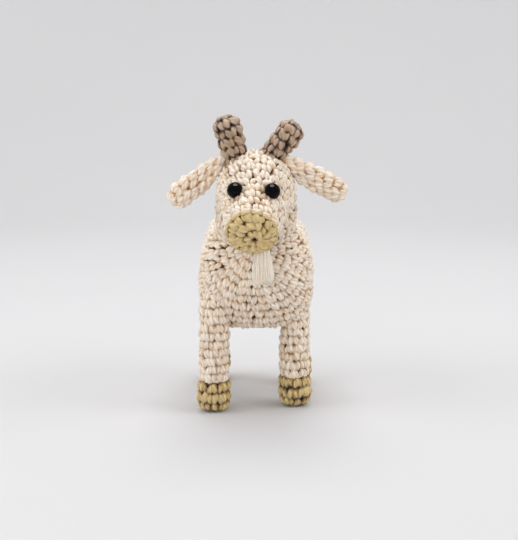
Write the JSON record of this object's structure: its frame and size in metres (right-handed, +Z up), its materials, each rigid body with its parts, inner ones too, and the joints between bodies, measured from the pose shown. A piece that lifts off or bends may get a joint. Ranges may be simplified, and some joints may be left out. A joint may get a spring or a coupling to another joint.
{
  "type": "crocheted stuffed goat figure",
  "caption": "Small crocheted goat figure in cream yarn with straw-coloured muzzle and hooves, tan horns and bead eyes; stands on four stuffed legs as a decoration.",
  "frame": {"origin": "on the floor under the middle of the whole figure's box", "axes": "+Z up; the goat faces -Y; +X is the goat's own left"},
  "size_m": [0.0767, 0.1236, 0.1301],
  "materials": {
    "cream_yarn": "crocheted cotton yarn, off-white",
    "straw_yarn": "crocheted cotton yarn, straw yellow",
    "tan_yarn": "crocheted cotton yarn, tan brown",
    "beard_yarn": "brushed-out cotton yarn, off-white",
    "filling": "loose polyester fibre",
    "eye_black": "polished",
    "washer_plastic": "moulded"
  },
  "bodies": {
    "torso": {"body_shell": "cream_yarn", "body_stuffing": "filling"},
    "head": {"head_shell": "cream_yarn", "head_stuffing": "filling", "muzzle": "straw_yarn", "eye_left": "eye_black", "eye_right": "eye_black", "eye_washer_left": "washer_plastic", "eye_washer_right": "washer_plastic", "horn_left": "tan_yarn", "horn_right": "tan_yarn", "horn_stuffing_left": "filling", "horn_stuffing_right": "filling"},
    "left_ear": {"ear_left": "cream_yarn"},
    "right_ear": {"ear_right": "cream_yarn"},
    "beard": {"goatee": "beard_yarn"},
    "tail_stub": {"tail": "cream_yarn"},
    "front_left_leg": {"leg_front_left": "cream_yarn", "leg_stuffing_front_left": "filling", "hoof_front_left": "straw_yarn"},
    "front_right_leg": {"leg_front_right": "cream_yarn", "leg_stuffing_front_right": "filling", "hoof_front_right": "straw_yarn"},
    "rear_left_leg": {"leg_rear_left": "cream_yarn", "leg_stuffing_rear_left": "filling", "hoof_rear_left": "straw_yarn"},
    "rear_right_leg": {"leg_rear_right": "cream_yarn", "leg_stuffing_rear_right": "filling", "hoof_rear_right": "straw_yarn"}
  },
  "joints": [
    {"name": "head_turn", "type": "hinge", "parent": "torso", "child": "head", "pos_m": [0, -0.0288, 0.0979], "axis": [0, 0, 1], "range_deg": [-12, 12], "stiffness_Nm_per_rad": 0.02},
    {"name": "left_ear_fold", "type": "hinge", "parent": "head", "child": "left_ear", "pos_m": [0.0178, -0.0288, 0.106], "axis": [-0.4695, 0, 0.8829], "range_deg": [-40, 50], "stiffness_Nm_per_rad": 0.002},
    {"name": "right_ear_fold", "type": "hinge", "parent": "head", "child": "right_ear", "pos_m": [-0.0178, -0.0288, 0.106], "axis": [-0.4695, 0, -0.8829], "range_deg": [-40, 50], "stiffness_Nm_per_rad": 0.002},
    {"name": "beard_swing", "type": "hinge", "parent": "head", "child": "beard", "pos_m": [0.0026, -0.0425, 0.0759], "axis": [1, 0, 0], "range_deg": [-45, 35]},
    {"name": "tail_swing", "type": "hinge", "parent": "torso", "child": "tail_stub", "pos_m": [0, 0.0541, 0.0762], "axis": [1, 0, 0], "range_deg": [-12, 40], "stiffness_Nm_per_rad": 0.002},
    {"name": "front_left_hip", "type": "hinge", "parent": "torso", "child": "front_left_leg", "pos_m": [0.0171, -0.012, 0.042], "axis": [1, 0, 0], "range_deg": [-8, 8], "stiffness_Nm_per_rad": 0.05},
    {"name": "front_right_hip", "type": "hinge", "parent": "torso", "child": "front_right_leg", "pos_m": [-0.0183, -0.0216, 0.042], "axis": [1, 0, 0], "range_deg": [-8, 8], "stiffness_Nm_per_rad": 0.05},
    {"name": "rear_left_hip", "type": "hinge", "parent": "torso", "child": "rear_left_leg", "pos_m": [0.0184, 0.0284, 0.042], "axis": [1, 0, 0], "range_deg": [-8, 8], "stiffness_Nm_per_rad": 0.05},
    {"name": "rear_right_hip", "type": "hinge", "parent": "torso", "child": "rear_right_leg", "pos_m": [-0.0196, 0.038, 0.042], "axis": [1, 0, 0], "range_deg": [-8, 8], "stiffness_Nm_per_rad": 0.05}
  ]
}
